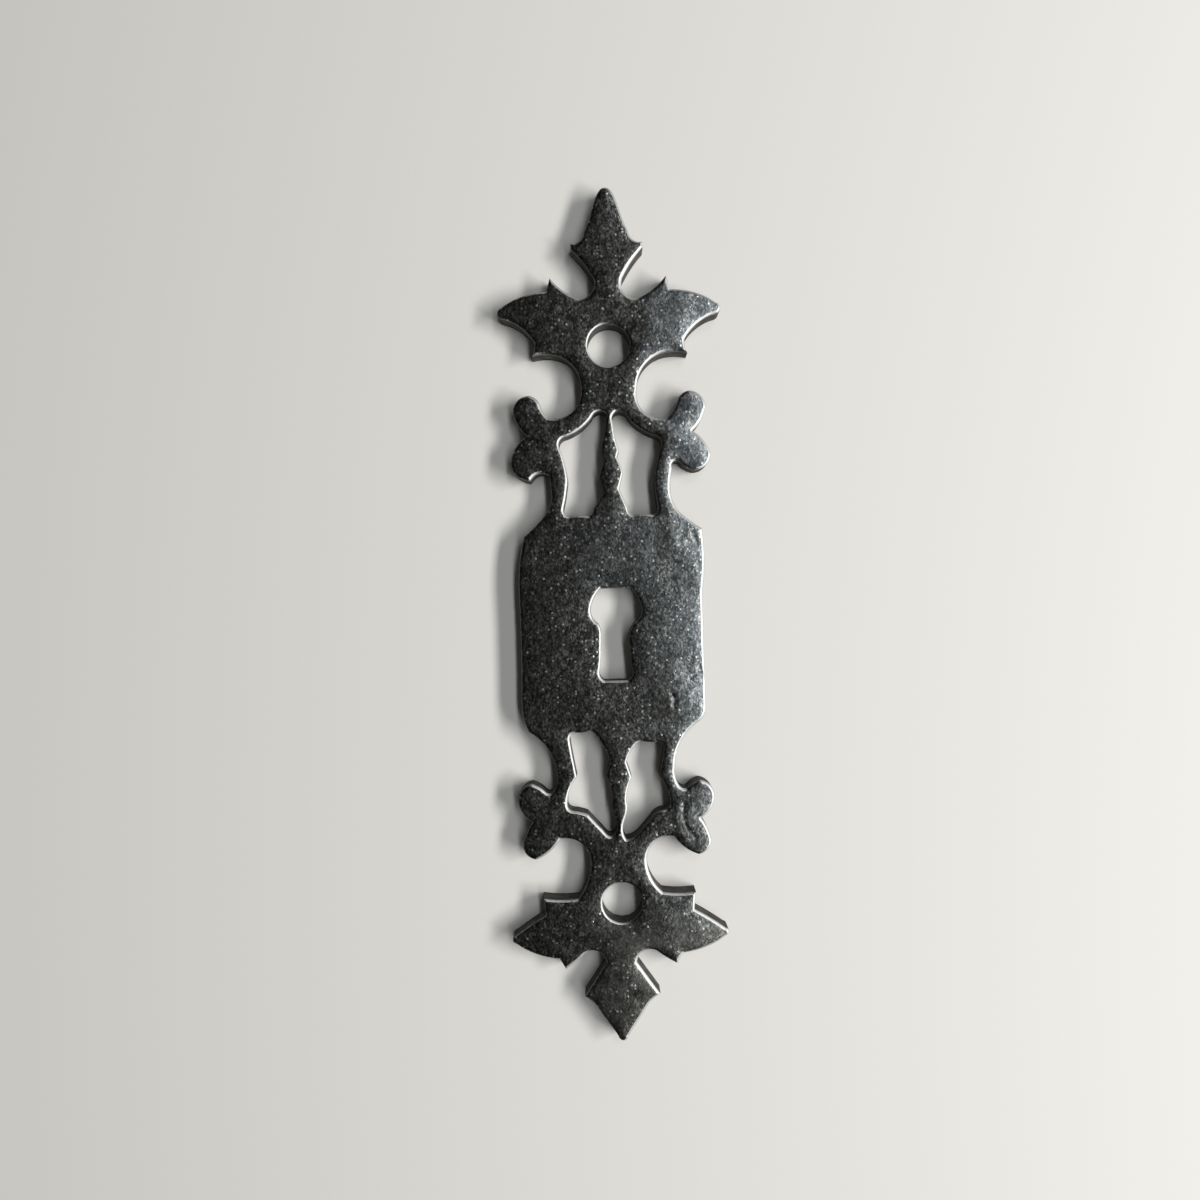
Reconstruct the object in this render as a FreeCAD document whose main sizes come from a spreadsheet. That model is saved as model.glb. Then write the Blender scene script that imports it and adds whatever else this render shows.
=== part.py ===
import FreeCAD, Part
import math
import os
import Sketcher

# Keyhole escutcheon: one flat casting with a lock panel, openwork scrolls above and below it, and a
# leaf cross at each end with a screw hole in its heart. Millimetres. The back lies on Z = 0, the front
# faces +Z, the upper cross points to +Y and the origin is the middle of the back.

NODE = "escutcheon_plate"

# Plain sizes
SIZES = {
    "plate_thickness": 3.8,
    "rim_round": 0.55,
    "window_round": 0.35,
    "keyhole_round": 0.4,
    "screw_round": 0.3,
    "upper_screw_radius": 3.5,
    "lower_screw_radius": 3.3,
    "lower_screw_shift": -0.1,
    "lock_up": 0.0,
    "upper_scroll_rise": 30.0,
    "lower_scroll_drop": 34.0,
    "upper_cross_rise": 14.05,
    "lower_cross_drop": 13.35,
    "top_round_swell": 0.55,
    "bottom_round_swell": 0.7,
}

# Levels that the outlines are measured from. Each rides on the one before, out from the keyhole.
LEVELS = [
    ("upper_scroll_up", "lock_up", 1, "upper_scroll_rise"),
    ("lower_scroll_up", "lock_up", -1, "lower_scroll_drop"),
    ("upper_screw_up", "upper_scroll_up", 1, "upper_cross_rise"),
    ("lower_screw_up", "lower_scroll_up", -1, "lower_cross_drop"),
]

# The two sides were carved as mirror twins, but by hand. A group of points is measured from a level,
# shift moves both twins to the right, and tilt lifts the right twin and drops the left one.
# A point is: name, distance out from the axis, height above the level, swell of the edge to the next
# point. The swell is how far the arc stands off its chord: above zero it bulges out, below it hollows.

# Narrow places, where one stretch of the plate hands over to the next
UPPER_WAIST = ("upper_middle", "upper_screw_up", -0.15, -0.05, [("upper_waist", 4.6, -7.1, -1.9)])
UPPER_NECK = ("upper_joint", "upper_scroll_up", -0.25, 0.4, [("upper_neck", 9.8, -9.4, -0.4)])
LOWER_NECK = ("lower_joint", "lower_scroll_up", -0.55, 0.6, [("lower_neck", 9.65, 8.2, -0.3)])
LOWER_WAIST = ("lower_middle", "lower_screw_up", -0.5, -0.1, [("lower_waist", 4.65, 6.4, -0.5)])

# Upper cross, one side, from the top tip to the waist
UPPER_CROSS = [
    # Upright leaf of the upper cross, pointed, with a barb at its foot
    ("top_leaf", "upper_screw_up", 0.05, 0.0, [
        ("top_tip", 1.0, 25.4, 0),
        ("top_leaf_side", 2.25, 22.45, -0.1),
        ("top_leaf_throat", 3.7, 18.5, -0.6),
        ("top_barb_point", 5.9, 16.9, 0),
        ("top_barb_heel", 5.95, 15.95, -0.25),
    ]),
    # Round-ended notch between the upright leaf and the side leaf
    ("upper_notch", "upper_screw_up", 0.15, -0.05, [
        ("upper_notch_inner", 2.3, 10.85, -1.05),
        ("upper_notch_outer", 4.85, 7.7, -0.4),
    ]),
    # Side leaf of the upper cross, with a spike above and a barb below
    ("side_leaf", "upper_screw_up", 0.15, 0.0, [
        ("side_leaf_spike", 9.55, 11.3, 0),
        ("side_leaf_root", 10.2, 9.0, 0.65),
        ("side_leaf_tip", 17.7, 6.6, 0.6),
        ("side_leaf_under", 17.75, 4.85, -0.7),
        ("side_leaf_throat", 12.3, 0.7, -0.1),
        ("side_leaf_barb", 12.75, -1.5, 0),
    ]),
    # Scallop between the cross and the scroll
    ("upper_scallop", "upper_screw_up", 0.1, 0.0, [
        ("upper_scallop_top", 9.75, -1.3, -1.55),
    ]),
    UPPER_WAIST,
]

# Upper scroll, one side, from the waist to the neck of the panel
UPPER_SCROLL = [
    UPPER_WAIST,
    ("upper_cleft", "upper_screw_up", -0.45, -0.25, [
        ("upper_cusp", 9.8, -11.85, 0),
    ]),
    # Two lobes of the upper scroll and the crotch between them
    ("crest_lobe", "upper_scroll_up", -0.2, 0.1, [
        ("crest_lobe_inner", 11.2, 4.4, 0.4),
        ("crest_lobe_top", 13.1, 6.25, 0.75),
        ("crest_lobe_side", 15.85, 3.65, 0.4),
        ("upper_crotch", 13.6, -0.4, 0.45),
    ]),
    ("panel_lobe", "upper_scroll_up", -0.1, 0.0, [
        ("panel_lobe_side", 16.35, -4.05, 0.85),
    ]),
    ("panel_lobe_end", "upper_scroll_up", -0.6, 0.4, [
        ("panel_lobe_foot", 14.0, -7.15, 0.2),
    ]),
    # Bay that opens under the lobes and runs down to the shoulder of the panel
    ("upper_lip", "upper_scroll_up", -1.05, 1.15, [
        ("upper_bay_lip", 12.3, -6.65, -0.75),
    ]),
    ("upper_bay", "upper_scroll_up", -0.2, 0.4, [
        ("upper_bay_top", 10.1, -6.7, 0),
    ]),
    UPPER_NECK,
]

# Lock panel, one side, from neck to neck
LOCK_PANEL = [
    UPPER_NECK,
    ("upper_flare", "upper_scroll_up", -0.15, 0.0, [
        ("upper_neck_flare", 10.95, -13.4, -0.15),
    ]),
    ("upper_corner", "upper_scroll_up", -0.1, 0.35, [
        ("upper_shoulder", 14.65, -16.65, 0.3),
    ]),
    # Sides of the lock panel, a little hollow
    ("panel_side", "lock_up", -0.65, -0.35, [
        ("panel_waist", 15.1, 4.1, -0.1),
        ("lower_shoulder", 15.1, -15.05, 0.3),
    ]),
    ("lower_flare", "lock_up", -0.6, 0.65, [
        ("lower_shoulder_end", 14.1, -18.45, -1.1),
    ]),
    LOWER_NECK,
]

# Lower scroll, one side, from the neck of the panel to the lower waist
LOWER_SCROLL = [
    LOWER_NECK,
    ("lower_bay", "lower_scroll_up", -0.7, 0.35, [
        ("lower_bay_bottom", 10.4, 5.3, -0.2),
    ]),
    # Two lobes of the lower scroll
    ("lower_lobe", "lower_scroll_up", -0.65, 0.0, [
        ("lower_bay_lip", 11.6, 5.1, 0.15),
        ("lower_lobe_top", 13.75, 6.45, 0.65),
        ("lower_lobe_side", 16.1, 3.85, 0.6),
        ("lower_crotch", 13.85, 0.2, 0.2),
    ]),
    ("foot_lobe", "lower_scroll_up", -0.7, 0.1, [
        ("foot_lobe_side", 15.45, -3.4, 0.65),
        ("foot_lobe_bottom", 13.35, -5.85, 0.45),
    ]),
    ("lower_cleft", "lower_screw_up", -0.65, 0.0, [
        ("lower_cusp", 9.35, 10.65, -1.6),
    ]),
    LOWER_WAIST,
]

# Lower cross, one side, from the waist to the bottom tip
LOWER_CROSS = [
    LOWER_WAIST,
    ("lower_scallop", "lower_screw_up", -0.35, 0.4, [
        ("lower_scallop_end", 6.9, 1.2, -0.2),
    ]),
    # Side leaf of the lower cross
    ("foot_leaf", "lower_screw_up", -0.5, 0.25, [
        ("foot_leaf_spike", 12.5, 1.2, 0),
        ("foot_leaf_root", 12.2, -1.6, 0.1),
        ("foot_leaf_tip", 17.2, -4.8, 0.5),
        ("foot_leaf_under", 17.35, -6.05, 0.5),
        ("foot_leaf_throat", 10.15, -8.75, 0),
        ("foot_leaf_barb", 9.15, -10.45, 0.1),
    ]),
    # Notch and hanging leaf at the bottom
    ("lower_notch", "lower_screw_up", -0.45, 0.0, [
        ("lower_notch_outer", 5.75, -8.05, -1.0),
        ("lower_notch_inner", 2.5, -9.8, 0),
    ]),
    ("bottom_leaf", "lower_screw_up", -0.45, 0.1, [
        ("bottom_barb", 6.2, -15.2, 0),
        ("bottom_leaf_throat", 4.75, -16.25, -0.05),
        ("bottom_tip", 0.85, -21.95, 0),
    ]),
]

# Upper window, one side, from its apex out over the arch, down the scroll, back along the panel and
# up the baluster, whose turned profile is the inner side of both windows
UPPER_WINDOW = [
    ("upper_arch", "upper_scroll_up", -0.15, -0.05, [
        ("upper_apex", 1.0, 3.2, 0.2),
        ("upper_arch_start", 2.55, 2.9, -0.6),
        ("upper_arch_end", 7.7, -0.95, 0.25),
        ("upper_window_top", 8.45, -2.25, -0.18),
        ("upper_window_side", 7.15, -7.85, -0.1),
    ]),
    ("upper_sill", "upper_scroll_up", -0.35, 0.0, [
        ("upper_sill_corner", 7.75, -12.65, 0.3),
        ("upper_sill_outer", 6.9, -13.9, -0.2),
        ("upper_sill_inner", 3.6, -13.9, 0.2),
        ("upper_base", 2.8, -12.85, -0.05),
    ]),
    ("upper_baluster", "upper_scroll_up", -0.15, 0.3, [
        ("upper_baluster_neck", 1.3, -9.85, 0),
        ("upper_baluster_belly", 1.95, -7.15, -0.05),
        ("upper_baluster_waist", 1.05, -4.6, 0),
    ]),
    ("upper_baluster_head", "upper_scroll_up", -0.2, -0.3, [
        ("upper_baluster_bulb", 1.4, -2.9, 0.1),
        ("upper_baluster_top", 0.5, 1.85, 0.3),
    ]),
]

# Lower window, one side, in the same order
LOWER_WINDOW = [
    ("lower_sill", "lower_scroll_up", -0.35, -0.9, [
        ("lower_sill_inner", 4.05, 13.9, -0.1),
        ("lower_sill_outer", 6.9, 13.75, 0.3),
        ("lower_sill_corner", 7.7, 12.55, 0),
    ]),
    ("lower_arch", "lower_scroll_up", -0.25, -0.1, [
        ("lower_window_side", 6.8, 7.35, 0),
        ("lower_window_foot", 8.45, 2.95, 0.28),
        ("lower_window_corner", 7.6, 1.8, -0.1),
    ]),
    ("lower_apex", "lower_scroll_up", 0.25, 0.0, [
        ("lower_arch_start", 5.6, 1.25, 0.05),
        ("lower_arch_end", 2.3, -2.35, 0.15),
    ]),
    ("lower_point", "lower_scroll_up", -0.2, -0.4, [
        ("lower_apex_foot", 1.0, -2.6, 0.15),
    ]),
    ("lower_baluster", "lower_scroll_up", -0.15, -0.2, [
        ("lower_baluster_foot", 0.45, -1.0, 0),
        ("lower_baluster_bulb", 1.25, 2.3, 0),
        ("lower_baluster_waist", 1.15, 4.0, 0.15),
        ("lower_baluster_belly", 2.1, 7.35, 0),
        ("lower_baluster_neck", 1.3, 9.9, 0),
    ]),
    ("lower_foot", "lower_scroll_up", -0.25, -0.5, [
        ("lower_base", 2.85, 12.85, 0.12),
    ]),
]

# Keyhole, one side, from its flat top down round the shaft hole and the slot for the bit
KEYHOLE = [
    ("keyhole_shaft", "lock_up", 0.1, 0.0, [
        ("keyhole_top", 2.45, 4.25, 0.3),
        ("keyhole_side", 4.2, 0.9, 0.4),
        ("keyhole_chin", 2.95, -1.6, -0.15),
    ]),
    ("keyhole_slot", "lock_up", -0.15, 0.0, [
        ("keyhole_slot_top", 2.33, -3.6, 0),
        ("keyhole_slot_mid", 2.42, -6.5, -0.05),
        ("keyhole_flare", 2.7, -9.35, 0.3),
        ("keyhole_foot", 1.88, -10.9, 0),
    ]),
]


def all_sizes():
    sizes = dict(SIZES)
    for outline in (UPPER_CROSS, UPPER_SCROLL, LOCK_PANEL, LOWER_SCROLL, LOWER_CROSS,
                    UPPER_WINDOW, LOWER_WINDOW, KEYHOLE):
        for group, level, shift, tilt, points in outline:
            sizes[group + "_shift"] = shift
            sizes[group + "_tilt"] = tilt
            for name, out, up, swell in points:
                sizes[name + "_out"] = out
                sizes[name + "_up"] = up
                if swell:
                    sizes[name + "_swell"] = swell
    return sizes


def add_levels(sizes, words):
    """The levels as numbers, and as the sheet's sums."""
    for name, base, side, step in LEVELS:
        sizes[name] = sizes[base] + side * sizes[step]
        words[name] = "=%s + %d * %s" % (base, side, step)


doc = FreeCAD.newDocument("keyhole_escutcheon")
sheet = doc.addObject("Spreadsheet::Sheet", "Sizes")
VALUES, SUMS = all_sizes(), {}
add_levels(VALUES, SUMS)
for row, (name, value) in enumerate(VALUES.items(), start=1):
    sheet.set("A%d" % row, name)
    sheet.set("B%d" % row, SUMS.get(name, str(value)))
    sheet.setAlias("B%d" % row, name)
doc.recompute()


class Corner:
    """A point of an outline: where it is, and the sheet's words for its place and its edge's swell."""

    def __init__(self, name, group, level, side):
        self.x_words = "Sizes.%s_shift + %d * Sizes.%s_out" % (group, side, name)
        self.y_words = "Sizes.%s + Sizes.%s_up + %d * Sizes.%s_tilt" % (level, name, side, group)
        x = VALUES[group + "_shift"] + side * VALUES[name + "_out"]
        y = VALUES[level] + VALUES[name + "_up"] + side * VALUES[group + "_tilt"]
        self.place = FreeCAD.Vector(x, y, 0)
        self.swell_name = name + "_swell" if name + "_swell" in VALUES else None


def walk(outline, side):
    corners = []
    for group, level, shift, tilt, points in outline:
        corners += [Corner(point[0], group, level, side) for point in points]
    return corners


def twin_loop(outline, top_swell=None, bottom_swell=None):
    """One closed loop: down the right side, across the bottom, up the left side, across the top."""
    right, left = walk(outline, 1), walk(outline, -1)
    edges = [corner.swell_name for corner in right[:-1]] + [bottom_swell]
    edges += [corner.swell_name for corner in reversed(left[:-1])] + [top_swell]
    return right + left[::-1], edges


def single_loop(outline, side):
    """One closed loop on one side of the axis, always walked clockwise."""
    corners = walk(outline, side)
    edges = [corner.swell_name for corner in corners]
    if side > 0:
        return corners, edges
    return corners[::-1], edges[-2::-1] + edges[-1:]


def swollen_arc(start, end, swell):
    """The arc from start to end that stands off its chord by the swell, to the left of the way."""
    along = end - start
    outward = FreeCAD.Vector(-along.y, along.x, 0).normalize()
    radius = (along.Length ** 2 / 4 + swell ** 2) / (2 * abs(swell))
    centre = (start + end) * 0.5 + outward * (swell - math.copysign(radius, swell))
    first, last = (end, start) if swell > 0 else (start, end)
    begin = math.atan2(first.y - centre.y, first.x - centre.x)
    finish = math.atan2(last.y - centre.y, last.x - centre.x)
    if finish < begin:
        finish += 2 * math.pi
    return Part.ArcOfCircle(Part.Circle(centre, FreeCAD.Vector(0, 0, 1), radius), begin, finish)


def draw_loop(sketch, corners, edges):
    """Lines and arcs through the corners, each corner and radius tied to the sheet."""
    first, count = sketch.GeometryCount, len(corners)
    drawn, ends = [], []
    for i in range(count):
        start, end = corners[i].place, corners[(i + 1) % count].place
        if edges[i] is None:
            drawn.append(Part.LineSegment(start, end))
            ends.append((1, 2))
        else:
            drawn.append(swollen_arc(start, end, VALUES[edges[i]]))
            ends.append((2, 1) if VALUES[edges[i]] > 0 else (1, 2))
    sketch.addGeometry(drawn, False)
    shapes = sketch.Geometry[first:]
    rules, ties = [], []
    start_number = sketch.ConstraintCount
    for i in range(count):
        following = (i + 1) % count
        rules.append(Sketcher.Constraint(
            "Coincident", first + i, ends[i][1], first + following, ends[following][0]))
    for i, corner in enumerate(corners):
        for kind, value, words in (("DistanceX", corner.place.x, corner.x_words),
                                   ("DistanceY", corner.place.y, corner.y_words)):
            ties.append((start_number + len(rules), words))
            rules.append(Sketcher.Constraint(kind, -1, 1, first + i, ends[i][0], value))
    for i, swell in enumerate(edges):
        if swell is None:
            continue
        this, that = corners[i], corners[(i + 1) % count]
        stand = "Sizes." + swell if VALUES[swell] > 0 else "(-Sizes.%s)" % swell
        chord_squared = "((%s - (%s))^2 + (%s - (%s))^2)" % (
            that.x_words, this.x_words, that.y_words, this.y_words)
        ties.append((start_number + len(rules), "%s / (8 * %s) + %s / 2" % (chord_squared, stand, stand)))
        rules.append(Sketcher.Constraint("Radius", first + i, shapes[i].Radius))
    sketch.addConstraint(rules)
    for number, words in ties:
        sketch.setExpression("Constraints[%d]" % number, words)


body = doc.addObject("PartDesign::Body", "flat_plate")
body.Label = "flat_plate"
back = [plane for plane in body.Origin.OriginFeatures if plane.Role == "XY_Plane"][0]


def new_sketch(name):
    sketch = body.newObject("Sketcher::SketchObject", name)
    sketch.AttachmentSupport = (back, "")
    sketch.MapMode = "FlatFace"
    return sketch


def cut_through(sketch, name):
    """A pocket from the back right through the plate."""
    before = body.Shape.Volume
    pocket = body.newObject("PartDesign::Pocket", name)
    pocket.Profile = sketch
    pocket.Reversed = True
    pocket.Type = 1
    doc.recompute()
    if pocket.Shape.Volume >= before:
        raise RuntimeError(name + " cuts nothing")
    return pocket


def pad_stretch(name, outline, top_swell=None, bottom_swell=None):
    """One stretch of the plate, closed straight across where it meets the next."""
    sketch = new_sketch(name + "_outline")
    draw_loop(sketch, *twin_loop(outline, top_swell, bottom_swell))
    pad = body.newObject("PartDesign::Pad", name)
    pad.Profile = sketch
    pad.setExpression("Length", "Sizes.plate_thickness")
    pad.Refine = True
    doc.recompute()


# Five stretches from the middle outwards make the plate.
pad_stretch("lock_panel", LOCK_PANEL)
pad_stretch("upper_scroll", UPPER_SCROLL)
pad_stretch("lower_scroll", LOWER_SCROLL)
pad_stretch("upper_cross", UPPER_CROSS, top_swell="top_round_swell")
pad_stretch("lower_cross", LOWER_CROSS, bottom_swell="bottom_round_swell")

# Four windows leave the scrolls, the two balusters and the arms.
for name, outline in (("upper_windows", UPPER_WINDOW), ("lower_windows", LOWER_WINDOW)):
    window_sketch = new_sketch(name + "_outline")
    for side in (1, -1):
        draw_loop(window_sketch, *single_loop(outline, side))
    cut_through(window_sketch, name)

keyhole_sketch = new_sketch("keyhole_outline")
draw_loop(keyhole_sketch, *twin_loop(KEYHOLE))
cut_through(keyhole_sketch, "keyhole")

# A plain screw hole in the heart of each cross
screw_sketch = new_sketch("screw_outline")
SCREW_HOLES = (("upper_screw_radius", "upper_screw_up", None),
               ("lower_screw_radius", "lower_screw_up", "lower_screw_shift"))
for index, (radius, level, shift) in enumerate(SCREW_HOLES):
    across = VALUES[shift] if shift else 0.0
    centre = FreeCAD.Vector(across, VALUES[level], 0)
    screw_sketch.addGeometry(Part.Circle(centre, FreeCAD.Vector(0, 0, 1), VALUES[radius]), False)
    ties = [("Radius", [index, VALUES[radius]], radius), ("DistanceY", [-1, 1, index, 3, centre.y], level)]
    if shift:
        ties.append(("DistanceX", [-1, 1, index, 3, centre.x], shift))
    else:
        screw_sketch.addConstraint(Sketcher.Constraint("PointOnObject", index, 3, -2))
    for kind, where, size in ties:
        number = screw_sketch.addConstraint(Sketcher.Constraint(kind, *where))
        screw_sketch.setExpression("Constraints[%d]" % number, "Sizes." + size)
cut_through(screw_sketch, "screw_holes")

# The screw holes' front edges are rounded as plain fillets.
screw_edges = []
for i, edge in enumerate(body.Tip.Shape.Edges):
    circle = edge.Curve.TypeId == "Part::GeomCircle" and edge.isClosed()
    if circle and abs(edge.CenterOfMass.z - VALUES["plate_thickness"]) < 1e-4:
        screw_edges.append("Edge%d" % (i + 1))
drilled = body.Tip
screw_rounding = body.newObject("PartDesign::Fillet", "screw_rounding")
screw_rounding.Base = (drilled, screw_edges)
screw_rounding.setExpression("Radius", "Sizes.screw_round")
doc.recompute()

# The other front edges are worn round too. Rim, windows and keyhole are chains of short arcs with cusps
# between them, so there the wear is drawn as the outline moved into the plate step by step while it
# rises, with flat bands between the steps, and it is cut from the plate.
ROUND_STEPS = 2


class Carrier:
    """The line or circle that an edge of an outline runs on, moved sideways by the inset."""

    def __init__(self, start, end, swell, inset):
        self.along = (end - start).normalize()
        self.inward = FreeCAD.Vector(self.along.y, -self.along.x, 0)
        self.point = start + self.inward * inset
        self.centre = None
        if swell:
            half = (end - start).Length / 2
            radius = (half ** 2 + swell ** 2) / (2 * abs(swell))
            side = math.copysign(1, swell)
            self.centre = (start + end) * 0.5 + self.inward * (side * radius - swell)
            self.radius = radius - side * inset
            self.crown = self.centre - self.inward * side * self.radius


def meeting_points(one, other):
    """Where two carriers cross."""
    if one.centre is None and other.centre is None:
        turn = one.along.x * other.along.y - one.along.y * other.along.x
        gap = other.point - one.point
        return [one.point + one.along * ((gap.x * other.along.y - gap.y * other.along.x) / turn)]
    if one.centre is None:
        one, other = other, one
    if other.centre is None:
        foot = other.point + other.along * (one.centre - other.point).dot(other.along)
        reach = one.radius ** 2 - (foot - one.centre).Length ** 2
        step = other.along * math.sqrt(max(reach, 0.0))
        return [foot + step, foot - step]
    line = other.centre - one.centre
    apart = line.Length
    line.normalize()
    near = (apart ** 2 + one.radius ** 2 - other.radius ** 2) / (2 * apart)
    across = FreeCAD.Vector(-line.y, line.x, 0) * math.sqrt(max(one.radius ** 2 - near ** 2, 0.0))
    return [one.centre + line * near + across, one.centre + line * near - across]


def inset_wire(corners, edges, inset, height):
    """The outline moved sideways by the inset, at a height. Below zero it grows."""
    count = len(corners)
    carriers = [Carrier(corners[i].place, corners[(i + 1) % count].place,
                        VALUES[edges[i]] if edges[i] else 0, inset) for i in range(count)]
    lift = FreeCAD.Vector(0, 0, height)
    places = []
    for i in range(count):
        near = corners[i].place + (carriers[i - 1].inward + carriers[i].inward) * (inset / 2)
        spots = meeting_points(carriers[i - 1], carriers[i])
        places.append(min(spots, key=lambda spot: (spot - near).Length) + lift)
    wire = []
    for i, carrier in enumerate(carriers):
        start, end = places[i], places[(i + 1) % count]
        if carrier.centre is None:
            wire.append(Part.LineSegment(start, end).toShape())
        else:
            wire.append(Part.Arc(start, carrier.crown + lift, end).toShape())
    return Part.Wire(wire)


def worn_column(corners, edges, radius, direction):
    """The solid inside an outline over the height of its wear. Direction 1 narrows towards the front, for
    the rim, and -1 widens, for an opening."""
    top = VALUES["plate_thickness"]
    wires = []
    for step in range(ROUND_STEPS + 1):
        angle = math.pi / 2 * step / ROUND_STEPS
        inset = direction * radius * (1 - math.cos(angle))
        wires.append(inset_wire(corners, edges, inset, top - radius * (1 - math.sin(angle))))
    faces = [Part.Face(wires[0]), Part.Face(wires[-1])]
    for low, high in zip(wires, wires[1:]):
        faces += [Part.makeRuledSurface(one, other) for one, other in zip(low.Edges, high.Edges)]
    shell = Part.makeShell(faces)
    shell.sewShape()
    solid = Part.makeSolid(shell)
    if solid.Volume < 0:
        solid.reverse()
    return solid


whole_rim = UPPER_CROSS + UPPER_SCROLL[1:] + LOCK_PANEL[1:] + LOWER_SCROLL[1:] + LOWER_CROSS[1:]
rim_corners, rim_edges = twin_loop(whole_rim, "top_round_swell", "bottom_round_swell")
room = body.Shape.BoundBox
margin = VALUES["plate_thickness"]
layer = Part.makeBox(room.XLength + 2 * margin, room.YLength + 2 * margin, VALUES["rim_round"],
                     FreeCAD.Vector(room.XMin - margin, room.YMin - margin,
                                    VALUES["plate_thickness"] - VALUES["rim_round"]))
rim_wear = doc.addObject("Part::Feature", "rim_wear")
rim_wear.Shape = layer.cut(worn_column(rim_corners, rim_edges, VALUES["rim_round"], 1))

openings = [worn_column(*single_loop(outline, side), VALUES["window_round"], -1)
            for outline in (UPPER_WINDOW, LOWER_WINDOW) for side in (1, -1)]
openings.append(worn_column(*twin_loop(KEYHOLE), VALUES["keyhole_round"], -1))
opening_wear = doc.addObject("Part::Feature", "opening_wear")
opening_wear.Shape = Part.makeCompound(openings)

worn_rim_plate = doc.addObject("Part::Cut", "worn_rim_plate")
worn_rim_plate.Base = body
worn_rim_plate.Tool = rim_wear
escutcheon = doc.addObject("Part::Cut", NODE)
escutcheon.Base = worn_rim_plate
escutcheon.Tool = opening_wear
escutcheon.Label = NODE
escutcheon.Placement = FreeCAD.Placement()
doc.recompute()

for item in doc.Objects:
    if "Invalid" in item.State or "Error" in item.State:
        raise RuntimeError("%s did not compute: %s" % (item.Name, item.State))
shape = escutcheon.Shape
if shape.isNull() or not shape.isValid() or len(shape.Solids) != 1:
    raise RuntimeError("the plate is not one valid solid")
if not 0 < body.Shape.Volume - shape.Volume < 0.05 * body.Shape.Volume:
    raise RuntimeError("the wear takes the wrong amount")

os.makedirs("parts", exist_ok=True)
shape.exportStep("parts/%s.step" % NODE)
box = shape.BoundBox
print("%s: %.2f x %.2f x %.2f mm, %.1f mm3, %d faces" % (
    NODE, box.XLength, box.YLength, box.ZLength, shape.Volume, len(shape.Faces)))
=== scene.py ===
# %% [markdown]
# # A keyhole escutcheon in blackened cast iron
#
# The real object is one flat iron casting, 140 mm long. It covers the keyhole of a cabinet door.
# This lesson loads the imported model, builds a finely meshed casting on its outline, gives it the skin
# of blackened iron, and sets up a soft studio. Everything is in metres in the frame of the packed
# model, but the outline work is done in millimetres, because a founder thinks in them.

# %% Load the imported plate
import math

import bmesh
import bpy
import numpy as np
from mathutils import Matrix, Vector, kdtree, noise
from mathutils.geometry import delaunay_2d_cdt


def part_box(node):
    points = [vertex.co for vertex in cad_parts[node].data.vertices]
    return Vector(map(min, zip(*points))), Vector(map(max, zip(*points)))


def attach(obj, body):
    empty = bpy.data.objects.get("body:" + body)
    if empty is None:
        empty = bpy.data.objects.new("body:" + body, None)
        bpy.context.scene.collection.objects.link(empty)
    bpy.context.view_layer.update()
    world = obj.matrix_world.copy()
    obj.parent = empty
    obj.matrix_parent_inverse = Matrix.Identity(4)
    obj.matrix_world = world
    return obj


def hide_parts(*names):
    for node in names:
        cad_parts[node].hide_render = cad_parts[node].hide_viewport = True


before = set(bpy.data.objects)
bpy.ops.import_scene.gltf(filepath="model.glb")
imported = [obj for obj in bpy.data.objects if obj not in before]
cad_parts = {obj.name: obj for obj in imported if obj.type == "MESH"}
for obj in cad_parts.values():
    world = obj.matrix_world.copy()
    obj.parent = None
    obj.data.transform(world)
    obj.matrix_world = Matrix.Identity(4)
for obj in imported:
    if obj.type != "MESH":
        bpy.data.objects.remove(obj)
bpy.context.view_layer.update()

packed_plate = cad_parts["escutcheon_plate"]
MM = 0.001
low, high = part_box("escutcheon_plate")
THICKNESS = round(high.z / MM, 3)
print("plate: %.2f x %.2f x %.2f mm" % tuple((high - low) / MM))

# %% [markdown]
# ## The outline of the casting
#
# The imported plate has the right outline, but its front edge is cut in a few flat bands, and its face
# is dead flat. A voxel remesh would soften the thin balusters and the cusps. So the closed chains
# of the flat back are read first: they are the true outline of the rim and of every opening.

# %% Read the chains round the flat back
def back_chains(node):
    """Closed chains of points in millimetres, with the iron on their left seen from the front."""
    mesh = bmesh.new()
    mesh.from_mesh(node.data)
    bmesh.ops.remove_doubles(mesh, verts=mesh.verts, dist=1e-6)
    follow = {}
    for face in mesh.faces:
        if face.normal.z > -0.999:
            continue
        for corner in face.loops:
            if any(other.normal.z > -0.999 for other in corner.edge.link_faces):
                follow[corner.link_loop_next.vert] = corner.vert
    chains = []
    while follow:
        here = next(iter(follow))
        chain = []
        while here in follow:
            chain.append((here.co.x / MM, here.co.y / MM))
            here = follow.pop(here)
        chains.append(np.array(chain))
    mesh.free()
    return sorted(chains, key=lambda chain: -np.ptp(chain[:, 1]))


chains = back_chains(packed_plate)
print("chains:", [len(chain) for chain in chains])

# %% [markdown]
# ## Smooth edges between crisp cusps
#
# The chains are made of short straight steps. A pattern carver's line is smooth between two cusps, so
# each chain is drawn again through its points with smooth curves. A turn of more than 24 degrees is
# kept as a cusp, which a subdivision would round off too. The new points stand close together, about
# one every sixth of a millimetre.

# %% Draw a chain again as smooth curves
CUSP = math.radians(24)
STEP = 0.165


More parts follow.
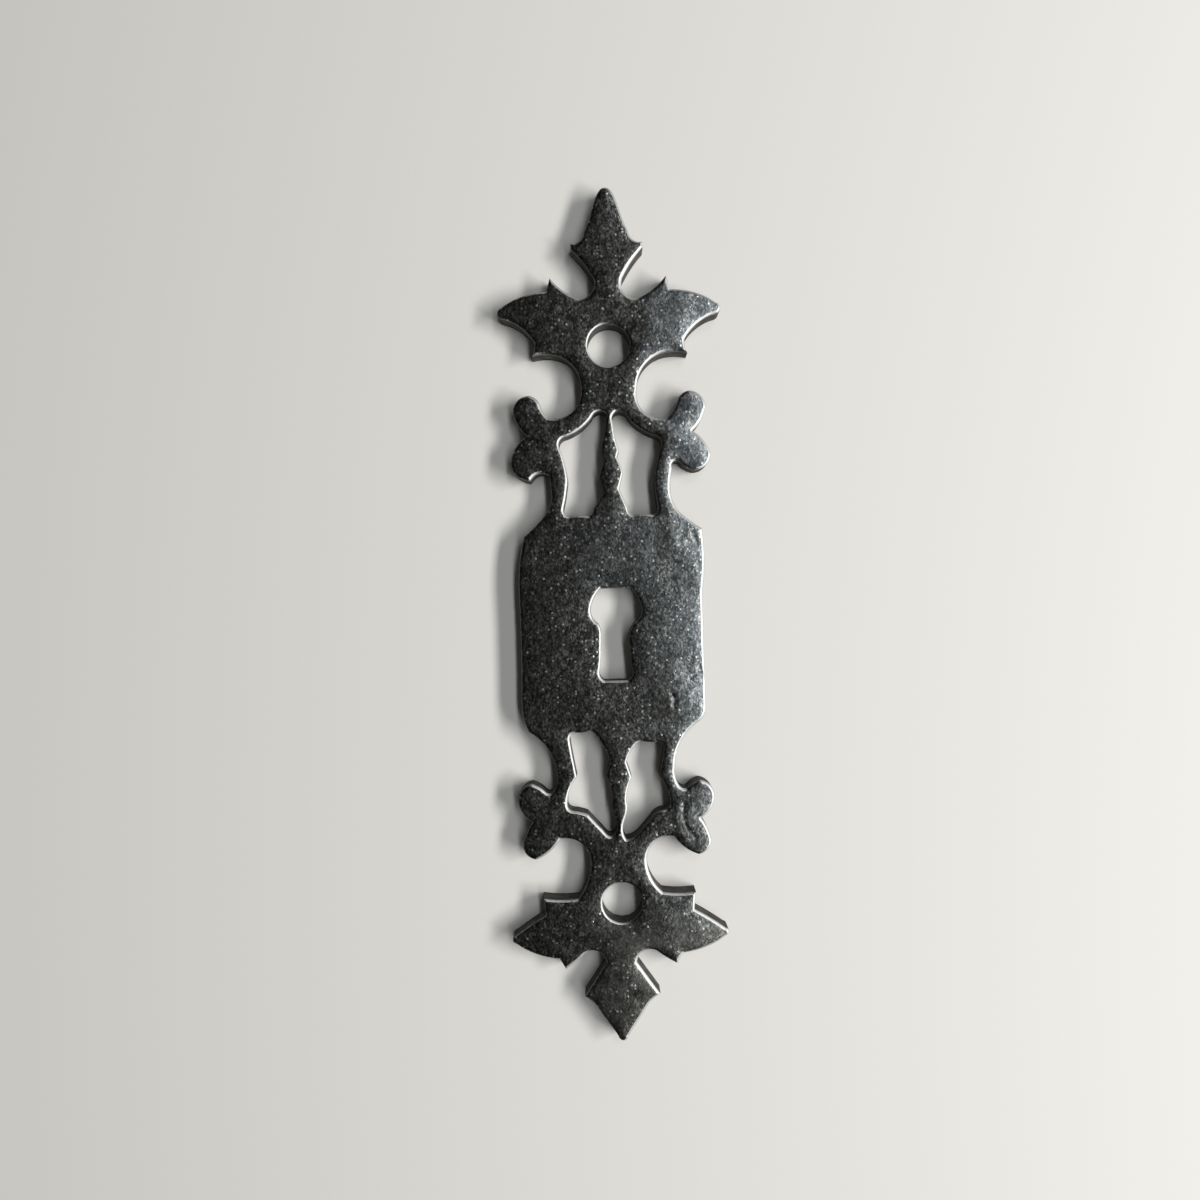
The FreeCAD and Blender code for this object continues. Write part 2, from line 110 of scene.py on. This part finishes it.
def smooth_chain(chain, step):
    """Points along the chain as smooth curves, which keep its cusps."""
    count = len(chain)
    leg = np.roll(chain, -1, axis=0) - chain
    length = np.linalg.norm(leg, axis=1)
    slope = leg / length[:, None]
    before, before_length = np.roll(slope, 1, axis=0), np.roll(length, 1)
    turn = np.abs(np.arctan2(before[:, 0] * slope[:, 1] - before[:, 1] * slope[:, 0],
                             (before * slope).sum(1)))
    way = (before * length[:, None] + slope * before_length[:, None]) / (length + before_length)[:, None]
    points = []
    for i in range(count):
        j = (i + 1) % count
        out = way[i] if turn[i] < CUSP else (2 * slope[i] - way[j] if turn[j] < CUSP else slope[i])
        into = way[j] if turn[j] < CUSP else (2 * slope[i] - way[i] if turn[i] < CUSP else slope[i])
        share = np.arange(max(1, round(length[i] / step)))[:, None] / max(1, round(length[i] / step))
        a, b = share ** 2 * (3 - 2 * share), share * (1 - share)
        points.append(chain[i] * (1 - a) + chain[j] * a
                      + length[i] * b * ((1 - share) * out - share * into))
    return np.concatenate(points)


loops = [smooth_chain(chain, STEP) for chain in chains]
print("outline points:", [len(loop) for loop in loops])

# %% [markdown]
# ## How far the edges are worn
#
# Handling and wax have rounded the front edges. The rim is rounded most, the screw holes least, and
# the keyhole is worn by the key. The rounding isn't a true quarter circle, because a hand rubs the face
# more than the walls, so it reaches further over the face. It also varies along an edge, because no
# hand presses evenly. A bevel modifier would give every edge one width. Here each loop has its own
# radius, and a slow noise over the plate changes it.

# %% Say how round each edge is
RIM_ROUND, WINDOW_ROUND, KEYHOLE_ROUND, SCREW_ROUND = 0.40, 0.33, 0.34, 0.28
REACH = 1.4  # a worn edge reaches further over the face than down the wall


def edge_round(loop, place):
    """The radius of the worn front edge of one of the loops, before it varies."""
    if place == 0:
        return RIM_ROUND
    middle, size = (loop.max(0) + loop.min(0)) / 2, np.ptp(loop, axis=0)
    if abs(size[0] - size[1]) < 0.2:
        return SCREW_ROUND
    return KEYHOLE_ROUND if abs(middle[0]) < 1 else WINDOW_ROUND


def hand(x, y):
    """Slow change of how far the edges are worn over the plate, from about 0.8 to 1.2."""
    return 1 + 0.35 * noise.noise(Vector((x / 7, y / 7, 3.0)))


def roll_off(away):
    """How far the face has sunk at a distance from the nearest edge. It is pillowed, as castings are."""
    return 0.15 * math.exp(-away / 1.5)


rounds = [edge_round(loop, place) for place, loop in enumerate(loops)]
print("edge rounds:", rounds)

# %% [markdown]
# ## Rings of points that follow every edge
#
# A rounded edge needs rows of points that run along it. Each outline point is moved into the iron by
# the insets of a quarter circle. Where two edges are near each other, as in the tip of a barb, a moved
# point would cross to the far side. Such a point is nearer to another edge than its own inset, and it
# is dropped. At a cusp that bites into the iron, a fan of points fills the gap between the two sides.
#
# Each point also keeps how much it is rubbed and how steep it lies. Edges that look to the right, towards the
# key lamp, get more of the bright worn colour, a painted highlight, and edges that look to the left stay dark.
# The steep part below the shoulder is out of the hand's way and stays dull everywhere.

# %% Move the outline into the iron
ARC = [math.radians(a) for a in (15, 30, 45, 58, 70, 80, 90)]
FINE = 0.04  # spacing of the places that stand for the edges
SHARP_BEND = 0.35  # radians from which a corner needs a fan or a longer inset
PITCH, ROW_SHARE = 0.27, 0.866  # the lattice of the face, in rows of even triangles
CLEARING = 0.13  # between the last ring and the lattice
fine = [smooth_chain(chain, FINE) for chain in chains]
nearest_edge = kdtree.KDTree(sum(len(loop) for loop in fine))
edge_place, edge_side, edge_loop = [], [], []
for place, loop in enumerate(fine):
    ahead = np.roll(loop, -1, axis=0) - np.roll(loop, 1, axis=0)
    ahead /= np.linalg.norm(ahead, axis=1)[:, None]
    for spot, way in zip(loop, ahead):
        nearest_edge.insert((spot[0], spot[1], 0), len(edge_place))
        edge_place.append(spot)
        edge_side.append((-way[1], way[0]))
        edge_loop.append(place)
nearest_edge.balance()


def ring_points(loop, inset_of):
    """The loop's points moved to their left, with fans at the cusps that bite in."""
    back = loop - np.roll(loop, 1, axis=0)
    ahead = np.roll(loop, -1, axis=0) - loop
    back_angle, ahead_angle = np.arctan2(back[:, 1], back[:, 0]), np.arctan2(ahead[:, 1], ahead[:, 0])
    turn = (ahead_angle - back_angle + math.pi) % (2 * math.pi) - math.pi
    moved = []
    for spot, angle, bend in zip(loop, back_angle, turn):
        inset = inset_of(*spot)
        if bend < -SHARP_BEND:
            fan = [angle + bend * part / 5 for part in range(6)]
        else:
            fan = [angle + bend / 2]
        stretch = 1 / math.cos(bend / 2) if bend > SHARP_BEND else 1
        for side in fan:
            moved.append((spot[0] - math.sin(side) * inset * stretch,
                          spot[1] + math.cos(side) * inset * stretch, inset))
    return moved


def shoulder(angle):
    """Wear along the rounded edge: full on its shoulder, none where it meets the face."""
    return max(0.0, min(1.0, angle / math.radians(30), (math.radians(82) - angle) / math.radians(14)))


def rubbing_and_highlight(index):
    """Share of the bright worn colour that an edge gets: full where it looks to the right, towards the key
    lamp, little to the left, a painted highlight on the side that looks to the light.
    """
    side = edge_side[index]
    return max(0.2, min(1.0, 0.68 - 0.6 * (0.97 * side[0] + 0.2 * side[1])))


def steepness(angle):
    """How far a ring lies on the steep, dull part of the rounded edge, from 0 at the face to 1."""
    return max(0.0, min(1.0, (math.radians(45) - angle) / math.radians(25)))


def front_points():
    """Points of the front as x, y, height, worn edge with its painted highlight, and steepness: outline, rings
    and a lattice.
    """
    points, outline = [], []
    for loop, radius in zip(loops, rounds):
        start = len(points)
        points += [(x, y, THICKNESS - radius * hand(x, y) - roll_off(0), 0.0, 1.0) for x, y in loop]
        outline += [(start + i, start + (i + 1) % len(loop)) for i in range(len(loop))]
    edge_count = len(points)
    for loop, radius in zip(loops, rounds):
        for angle in ARC:
            ring = ring_points(loop, lambda x, y: REACH * radius * hand(x, y) * (1 - math.cos(angle)))
            for x, y, inset in ring:
                _, index, far = nearest_edge.find((x, y, 0))
                if far > inset * 0.985 - 0.004:
                    drop = radius * hand(x, y) * (1 - math.sin(angle))
                    points.append((x, y, THICKNESS - drop - roll_off(inset),
                                   shoulder(angle) * rubbing_and_highlight(index), steepness(angle)))
    across, along = np.ptp(loops[0], axis=0)
    left, bottom = loops[0].min(0)
    for row in range(int(along / (PITCH * ROW_SHARE)) + 1):
        y = bottom + row * PITCH * ROW_SHARE
        for column in range(int(across / PITCH) + 1):
            x = left + (column + 0.5 * (row % 2)) * PITCH
            _, index, far = nearest_edge.find((x, y, 0))
            side = edge_side[index]
            inside = (x - edge_place[index][0]) * side[0] + (y - edge_place[index][1]) * side[1] > 0
            if inside and far > REACH * rounds[edge_loop[index]] * hand(x, y) + CLEARING:
                points.append((x, y, THICKNESS - roll_off(far), 0.0, 0.0))
    return points, outline, edge_count


front, outline_edges, edge_count = front_points()
print("front points:", len(front), "on the outline:", edge_count)

# %% [markdown]
# ## The skin of the casting
#
# Sand-cast iron is never flat. The face swells and sinks slowly, it has small waves where the sand
# gave way, and a pebbled grain with some pits. On this plate a fold runs down the lobes at the lower
# right. A few dents and a wrinkled patch lie near the lower right corner of the lock panel, a broad
# swell runs along its upper right side, and one arm carries a short cast line. A bump map would fake
# them, but real heights catch the low light better.

# %% Sink the folds, dents and waves into the face
FOLDS = [
    # name, points in millimetres, width, depth below the face
    ("lobe fold", [(10.4, -31.3), (10.25, -33.0), (10.7, -35.2), (12.2, -37.0)], 0.3, 0.065),
    ("lobe ridge", [(9.3, -31.2), (9.0, -33.4), (9.6, -35.9), (10.9, -37.9)], 0.5, -0.035),
    ("panel dent", [(13.4, -8.8), (13.8, -9.6), (14.1, -10.6)], 0.35, 0.08),
    ("panel wrinkle", [(11.9, -10.8), (12.9, -10.2), (13.9, -9.9)], 0.22, 0.07),
    ("curved dent", [(8.9, -13.5), (9.35, -14.2), (9.15, -15.3)], 0.3, 0.08),
    ("shoulder crease", [(12.9, 13.0), (13.4, 11.9), (13.7, 10.9)], 0.3, 0.04),
    ("panel swell", [(9.5, 12.0), (12.0, 8.5), (13.6, 4.5)], 1.3, -0.045),
    ("cast line", [(-8.2, 32.4), (-8.25, 30.3)], 0.14, -0.05),
]


def distance_to_line(points, x, y):
    """Distance from a place to a chain of straight legs."""
    best = 1e9
    for (ax, ay), (bx, by) in zip(points, points[1:]):
        dx, dy = bx - ax, by - ay
        share = max(0.0, min(1.0, ((x - ax) * dx + (y - ay) * dy) / (dx * dx + dy * dy)))
        best = min(best, math.hypot(x - ax - share * dx, y - ay - share * dy))
    return best


def fold_depth(x, y):
    """How far the folds and dents sink a place."""
    depth = 0.0
    for _, line, width, deep in FOLDS:
        away = distance_to_line(line, x, y) / width
        if away < 3:
            depth += deep * math.exp(-away * away)
    return depth


def wrinkled(x, y):
    """How far a place is in the wrinkled patch near the panel's lower right corner, from 0 to 1."""
    return math.exp(-((x - 12.0) / 2.6) ** 2 - ((y + 12.5) / 4.2) ** 2)


def casting_skin(x, y):
    """Slow swells, sand waves, pebbled grain and pits, as a height in millimetres."""
    swell = 0.07 * noise.noise(Vector((x / 8, y / 8, 0.0)))
    waves = 0.03 * noise.noise(Vector((x / 2.6, y / 2.6, 7.0)))
    grain = 0.010 * noise.noise(Vector((x / 0.8, y / 0.8, 5.0)))
    distances, seeds = noise.voronoi(Vector((x / 2.2, y / 2.2, 0.5)))
    chosen = noise.cell(seeds[0] * 9.0) > 0.35
    pit = 0.035 * math.exp(-(distances[0] / 0.14) ** 2) if chosen else 0.0
    along, over = 0.8 * x + 0.6 * y, 0.8 * y - 0.6 * x
    wrinkles = 0.055 * wrinkled(x, y) * noise.noise(Vector((along / 2.4, over / 1.0, 11.0)))
    return swell + waves + grain + wrinkles - pit - 0.035


def skinned(point):
    """The point with the skin added, fading out down the rounded edge, and the depth of its fold."""
    x, y, z = point[:3]
    keep = max(0.0, min(1.0, (z - THICKNESS + 0.6) / 0.4))
    depth = fold_depth(x, y)
    return x, y, z + keep * (casting_skin(x, y) - depth), max(0.0, depth)


skin = [skinned(point) for point in front]
print("face from %.2f to %.2f mm" % (min(p[2] for p in skin[edge_count:]), max(p[2] for p in skin)))

# %% [markdown]
# ## One closed casting
#
# The points become a mesh by a Delaunay triangulation that keeps the outline as fixed edges. It also
# fills the openings, so a triangle whose corners all lie on the outline is kept only if its middle is
# in the iron. The walls are rows of quads down to the back, and the back is closed in the same way.

# %% Test whether places are in the iron
def in_iron(places):
    """For each place, whether a line to the far right crosses the outline an odd number of times."""
    starts = np.concatenate(loops)
    ends = np.concatenate([np.roll(loop, -1, axis=0) for loop in loops])
    odd = np.zeros(len(places), bool)
    for part in np.array_split(np.arange(len(places)), max(1, len(places) // 400)):
        x, y = places[part, 0][:, None], places[part, 1][:, None]
        spans = (starts[:, 1] > y) != (ends[:, 1] > y)
        rise = ends[:, 1] - starts[:, 1]
        cut = starts[:, 0] + (y - starts[:, 1]) * (ends[:, 0] - starts[:, 0]) / np.where(rise == 0, 1, rise)
        odd[part] = (spans & (x < cut)).sum(1) % 2 == 1
    return odd


def triangles(points, edges, edge_count):
    """Triangles over the iron, as numbers of the points."""
    flat = [Vector((p[0], p[1])) for p in points]
    _, _, faces, origins, _, _ = delaunay_2d_cdt(flat, edges, [], 0, 1e-7)
    first = [numbers[0] if numbers else -1 for numbers in origins]
    faces = np.array([[first[i] for i in face] for face in faces])
    faces = faces[(faces >= 0).all(1)]
    places = np.array([(p[0], p[1]) for p in points])
    rimmed = (faces < edge_count).all(1)
    keep = ~rimmed
    keep[rimmed] = in_iron(places[faces[rimmed]].mean(1))
    return faces[keep]


face_triangles = triangles(front, outline_edges, edge_count)
back_triangles = triangles(front[:edge_count], outline_edges, edge_count)
print("triangles on the front:", len(face_triangles), "on the back:", len(back_triangles))

# %% Cast the plate as one mesh
WALL_ROWS = [0.96, 0.6, 0.3, 0.0]


def cast_plate():
    """The whole casting with its worn edge and painted highlight, and its fold depth, kept on the points for
    the finish.
    """
    points = [(x, y, z) for x, y, z, _ in skin]
    wear_and_lit_side = [p[3] for p in front]
    depth = [p[3] for p in skin]
    steep = [p[4] for p in front]
    wall = [0.0] * len(points)
    rows = [list(range(edge_count))]
    for share in WALL_ROWS:
        rows.append(list(range(len(points), len(points) + edge_count)))
        points += [(x, y, z * share) for x, y, z in points[:edge_count]]
        wear_and_lit_side += [0.0] * edge_count
        depth += [0.0] * edge_count
        steep += [1.0] * edge_count
        wall += [1.0] * edge_count
    faces = [list(map(int, face)) for face in face_triangles]
    for upper, lower in zip(rows, rows[1:]):
        faces += [[lower[a], lower[b], upper[b], upper[a]] for a, b in outline_edges]
    faces += [[rows[-1][i] for i in reversed(face)] for face in back_triangles]
    mesh = bpy.data.meshes.new("iron_plate")
    mesh.from_pydata([(x * MM, y * MM, z * MM) for x, y, z in points], [], faces)
    for name, values in (("edge_wear_and_highlight", wear_and_lit_side), ("steep", steep), ("fold_depth", depth), ("wall", wall)):
        mesh.attributes.new(name, "FLOAT", "POINT").data.foreach_set("value", values)
    mesh.validate()
    shape = bmesh.new()
    shape.from_mesh(mesh)
    bmesh.ops.recalc_face_normals(shape, faces=shape.faces)
    open_edges = sum(1 for edge in shape.edges if len(edge.link_faces) != 2)
    shape.to_mesh(mesh)
    shape.free()
    mesh.polygons.foreach_set("use_smooth", [True] * len(mesh.polygons))
    mesh.set_sharp_from_angle(angle=math.radians(38))
    plate = bpy.data.objects.new("iron_plate", mesh)
    bpy.context.scene.collection.objects.link(plate)
    print("casting: %d points, %d faces, %d open edges" % (len(points), len(mesh.polygons), open_edges))
    return plate


iron_plate = cast_plate()
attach(iron_plate, "root")
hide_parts("escutcheon_plate")

# %% [markdown]
# ## Shader sums as plain expressions
#
# A finish is a sum of masks. Wiring each sum by hand hides the idea, so a small class wraps a node's
# output and lets masks be added, taken away and multiplied as numbers are. Other nodes come from one
# method, which takes the node's type, its settings and its inputs.

# %% A small language for masks
class Mask:
    """One output of a node. Sums on it add Math nodes."""

    def __init__(self, tree, socket):
        self.tree, self.socket = tree, socket

    def node(self, kind, settings=None, output=0, **inputs):
        return add_node(self.tree, kind, settings, output, **inputs)

    def sum(self, operation, *values):
        inputs = {"in%d" % i: value for i, value in enumerate(values)}
        return self.node("ShaderNodeMath", {"operation": operation}, **inputs)

    def __add__(self, other): return self.sum("ADD", self, other)
    def __radd__(self, other): return self.sum("ADD", other, self)
    def __sub__(self, other): return self.sum("SUBTRACT", self, other)
    def __rsub__(self, other): return self.sum("SUBTRACT", other, self)
    def __mul__(self, other): return self.sum("MULTIPLY", self, other)
    def __rmul__(self, other): return self.sum("MULTIPLY", other, self)
    def __pow__(self, other): return self.sum("POWER", self, other)

    def above(self, start, end):
        """0 below start, 1 above end, smooth between. Start may be the larger one."""
        return self.node("ShaderNodeMapRange", {"interpolation_type": "SMOOTHSTEP"},
                         Value=self, From_Min=start, From_Max=end)


def add_node(tree, kind, settings=None, output=0, **inputs):
    """A node of any type. An input is named by its socket, or in0, in1 by its place."""
    node = tree.nodes.new(kind)
    for name, value in (settings or {}).items():
        setattr(node, name, value)
    for name, value in inputs.items():
        place = name.replace("_", " ")
        socket = node.inputs[int(name[2:])] if name[:2] == "in" and name[2:].isdigit() else node.inputs[place]
        if isinstance(value, Mask):
            tree.links.new(value.socket, socket)
        else:
            socket.default_value = value
    return Mask(tree, node.outputs[output])


def blend_colour(factor, under, over):
    """The colour under with the colour over laid on it by the factor. The Mix node's colours are
    its inputs 6 and 7, and its mixed colour is output 2."""
    return add_node(factor.tree, "ShaderNodeMix", {"data_type": "RGBA"}, 2, in0=factor, in6=under, in7=over)


def new_finish(name):
    """A material with only its shader and output, and its node tree."""
    material = bpy.data.materials.new(name)
    material.use_nodes = True
    tree = material.node_tree
    return material, tree, tree.nodes["Principled BSDF"]


# %% [markdown]
# ## Blackened iron
#
# The iron is black from heat and wax. It is made as a nearly black metal, because its tone comes from
# the light it mirrors: dark on the left, with a blue-grey sheen on the right. Close up a dense grain of
# bare iron shows through. Two sizes of Voronoi cells give it, each with a random value raised to the
# third power, so that most grains are dark and few are light. They are drawn out a little along the
# plate, the way it is wiped. A sparser set gives the bright flecks.
#
# The right side, less so lower down, the upper part and the face above the keyhole are painted lighter and
# bluer, a painted sheen where the light falls from the right. The lower end has dust, warm and lighter, and
# only its right half gets it, so it is partly a painted sheen too. The worn edges are bright and a little
# rougher, and edges that look to the right, towards the key lamp, get the most of that colour, a painted
# highlight. No hand reaches the steep part below them, the walls or the back. The steep part is greyer and
# less metallic. On the walls and the back the skin of the casting is left, which hardly shines, so a second
# shader is laid on them. The folds and dents are painted darker, a painted shade. Wear, steepness and folds
# are read from the mesh, so they follow every edge exactly.

# %% Mix the finish of the casting
def blackened_iron():
    """The finish of the whole casting: dark grainy metal with a painted sheen, bright worn edges with a
    painted highlight, painted shade in the folds, and dull walls.
    """
    material, tree, shader = new_finish("black_iron")
    place = add_node(tree, "ShaderNodeTexCoord", output="Object")
    wear_and_lit_side = add_node(tree, "ShaderNodeAttribute", {"attribute_name": "edge_wear_and_highlight"}, "Fac")
    fold = add_node(tree, "ShaderNodeAttribute", {"attribute_name": "fold_depth"}, "Fac")
    wall = add_node(tree, "ShaderNodeAttribute", {"attribute_name": "wall"}, "Fac")
    steep = add_node(tree, "ShaderNodeAttribute", {"attribute_name": "steep"}, "Fac")

    def cloud(size, detail=3.0, seed=0.0):
        moved = place.node("ShaderNodeVectorMath", {"operation": "ADD"}, in0=place, in1=(seed, seed, 0.0))
        return place.node("ShaderNodeTexNoise", Vector=moved, Scale=1 / (size * MM), Detail=detail)

    def specks(size, share, seed=0.0):
        moved = place.node("ShaderNodeVectorMath", {"operation": "ADD"}, in0=place, in1=(seed, 0.0, seed))
        away = place.node("ShaderNodeTexVoronoi", Vector=moved, Scale=1 / (size * MM))
        pick = place.node("ShaderNodeTexVoronoi", output="Color", Vector=moved, Scale=1 / (size * MM))
        chosen = pick.node("ShaderNodeSeparateColor", in0=pick).above(1 - share, 1.0)
        return away.above(0.42, 0.12) * chosen

    along = place.node("ShaderNodeVectorMath", {"operation": "MULTIPLY"}, in0=place, in1=(1.0, 0.65, 1.0))

    def grains(size, seed=0.0):
        moved = place.node("ShaderNodeVectorMath", {"operation": "ADD"}, in0=along, in1=(seed, 0.0, seed))
        pick = place.node("ShaderNodeTexVoronoi", output="Color", Vector=moved, Scale=1 / (size * MM))
        return pick.node("ShaderNodeSeparateColor", in0=pick) ** 3

    mottle = cloud(5.0).above(0.35, 0.65)
    tone = cloud(1.6, 4.0, 0.3).above(0.3, 0.7)
    ground = blend_colour(mottle, (0.018, 0.0172, 0.0135, 1), (0.0165, 0.0175, 0.0165, 1))
    ground = blend_colour(tone * 0.5, ground, (0.033, 0.033, 0.030, 1))
    across = place.node("ShaderNodeSeparateXYZ", output="X", in0=place)
    height = place.node("ShaderNodeSeparateXYZ", output="Y", in0=place)
    # Painted sheen: the right side, less so lower down, and the face above the keyhole are painted lighter and
    # bluer, more so towards the top, where the light falls from the right.
    side = (across + 0.004 * (mottle - 0.5)).above(0.004, 0.014) * (0.38 + 0.62 * height.above(-0.032, -0.014))
    sheen_above_keyhole = place.node("ShaderNodeVectorMath", {"operation": "DISTANCE"}, output="Value",
                               in0=place, in1=(0.005, 0.008, THICKNESS * MM)).above(0.015, 0.004)
    painted_sheen = side.sum("MAXIMUM", side, 0.5 * sheen_above_keyhole)
    upper = 0.71 + 0.14 * height.above(0.012, 0.034)
    ground = blend_colour(painted_sheen * upper, ground, (0.070, 0.080, 0.091, 1))
    # Dust on the lower end, only on its right half, so it is partly a painted sheen.
    dust_and_sheen = (height + 0.006 * (mottle - 0.5)).above(-0.043, -0.055) * across.above(-0.010, 0.002)
    dust_and_sheen = dust_and_sheen * cloud(3.0, 2.0, 0.7).above(0.25, 0.55)
    ground = blend_colour(dust_and_sheen * 0.75, ground, (0.095, 0.090, 0.080, 1))
    ground = blend_colour(steep, ground, (0.070, 0.068, 0.064, 1))
    # The grains are painted brighter where the sheen is painted.
    salt = 0.8 * grains(0.20, 0.05) + grains(0.29, 0.21) * (0.5 + 0.5 * cloud(1.4, 3.0, 0.5).above(0.35, 0.6))
    ground = blend_colour(salt * (0.42 + 0.3 * painted_sheen), ground, (0.285, 0.285, 0.27, 1))
    flecks = specks(0.6, 0.28, 0.11)
    ground = blend_colour(flecks * 0.8, ground, (0.60, 0.60, 0.59, 1))
    # Bright worn colour on the edges: partly real, partly a painted highlight on edges that look to the right.
    rubbed_and_highlit = (wear_and_lit_side + 0.35 * (cloud(0.7, 4.0, 0.9) - 0.5)).above(0.45, 0.85)
    ground = blend_colour(rubbed_and_highlit * 0.9, ground, (0.52, 0.52, 0.51, 1))
    # Painted shade: the folds and dents are darkened nearly to black where they sink.
    ground = blend_colour(fold.above(0.03, 0.1) * 0.6, ground, (0.012, 0.012, 0.012, 1))
    tree.links.new(ground.socket, shader.inputs["Base Color"])

    rough = 0.30 + 0.05 * (tone - 0.5) - 0.02 * painted_sheen + 0.3 * rubbed_and_highlit + 0.1 * steep
    tree.links.new(rough.socket, shader.inputs["Roughness"])
    metal = 0.97 - 0.9 * steep
    tree.links.new(metal.socket, shader.inputs["Metallic"])
    shader.inputs["Specular IOR Level"].default_value = 0.3

    grain = cloud(0.35, 1.0, 0.2) + 0.8 * cloud(0.8, 1.0, 0.4) + 0.4 * flecks
    bump = add_node(tree, "ShaderNodeBump", Strength=1.0, Distance=0.018 * MM, Height=grain)
    tree.links.new(bump.socket, shader.inputs["Normal"])

    skin = blend_colour(tone, (0.050, 0.049, 0.045, 1), (0.10, 0.097, 0.09, 1))
    bare = add_node(tree, "ShaderNodeBsdfPrincipled", Base_Color=skin, Roughness=0.85,
                    Specular_IOR_Level=0.1, Normal=bump)
    both = add_node(tree, "ShaderNodeMixShader", in0=wall, in1=Mask(tree, shader.outputs[0]), in2=bare)
    tree.links.new(both.socket, tree.nodes["Material Output"].inputs["Surface"])
    return material


iron_plate.data.materials.append(blackened_iron())
print("finish:", iron_plate.data.materials[0].name)

# %% [markdown]
# ## A plain pale floor
#
# The plate lies flat on its back. A wide pale floor just under it takes the soft shadow, and it shows
# through the windows and the holes as the surface behind a real plate would.

# %% Lay the floor
floor_mesh = bpy.data.meshes.new("floor")
floor_mesh.from_pydata([(-2, -2, -2e-5), (2, -2, -2e-5), (2, 2, -2e-5), (-2, 2, -2e-5)], [], [(0, 1, 2, 3)])
floor = bpy.data.objects.new("floor", floor_mesh)
bpy.context.scene.collection.objects.link(floor)
paper, _, paper_shader = new_finish("pale_floor")
paper_shader.inputs["Base Color"].default_value = (0.59, 0.575, 0.55, 1)
paper_shader.inputs["Roughness"].default_value = 0.9
floor_mesh.materials.append(paper)
print("floor 0.02 mm under the back")

# %% [markdown]
# ## Light and camera
#
# The light comes from the right, about 40 degrees above the floor, and leaves a shadow a little longer
# than the plate is thick. The lamp is long across its own direction, so edges that look a little up or
# down the plate are lit too. A second lamp, long and narrow, hangs near the place that the face mirrors
# into the camera and gives the iron its sheen, and a weak pale world fills the rest. The camera looks
# straight down from close by, so the walls of the openings show on one side, and it is turned a
# little, so that the plate leans to the left in the picture.

# %% Hang the lamps
def soft_lamp(name, tilt, towards, distance, width, length, watts, colour):
    """A flat lamp that looks at the plate, tilted from straight above towards a direction."""
    lamp = bpy.data.lights.new(name, "AREA")
    lamp.shape, lamp.size, lamp.size_y, lamp.energy = "RECTANGLE", length, width, watts
    lamp.color = colour
    holder = bpy.data.objects.new(name, lamp)
    tilt, towards = math.radians(tilt), math.radians(towards)
    holder.location = Vector((math.sin(tilt) * math.cos(towards), math.sin(tilt) * math.sin(towards),
                              math.cos(tilt))) * distance
    holder.rotation_euler = (-holder.location).to_track_quat("-Z", "Y").to_euler()
    bpy.context.scene.collection.objects.link(holder)


soft_lamp("key_lamp", tilt=52, towards=-8, distance=0.8, width=0.13, length=0.62,
          watts=8.6, colour=(1.0, 0.99, 0.97))
soft_lamp("sheen_lamp", tilt=19, towards=2, distance=0.8, width=0.10, length=1.1,
          watts=3.5, colour=(0.94, 0.98, 1.0))
world = bpy.data.worlds.new("studio")
bpy.context.scene.world = world
world.use_nodes = True
world.node_tree.nodes["Background"].inputs["Color"].default_value = (1.0, 0.99, 0.96, 1)
world.node_tree.nodes["Background"].inputs["Strength"].default_value = 0.06
print("two lamps and a pale world")

# %% Place the camera
CAMERA_HEIGHT = 145.5  # above the face
camera_data = bpy.data.cameras.new("camera")
camera = bpy.data.objects.new("camera", camera_data)
bpy.context.scene.collection.objects.link(camera)
camera.location = (-2.5 * MM, 2.35 * MM, (THICKNESS + CAMERA_HEIGHT) * MM)
camera.rotation_euler = (0, 0, math.radians(-1.5))
camera_data.sensor_width = 36
camera_data.angle = math.radians(68)
camera_data.clip_start = 0.01
bpy.context.scene.camera = camera
bpy.context.scene.view_settings.view_transform = "Standard"
print("camera %.1f mm above the face" % CAMERA_HEIGHT)
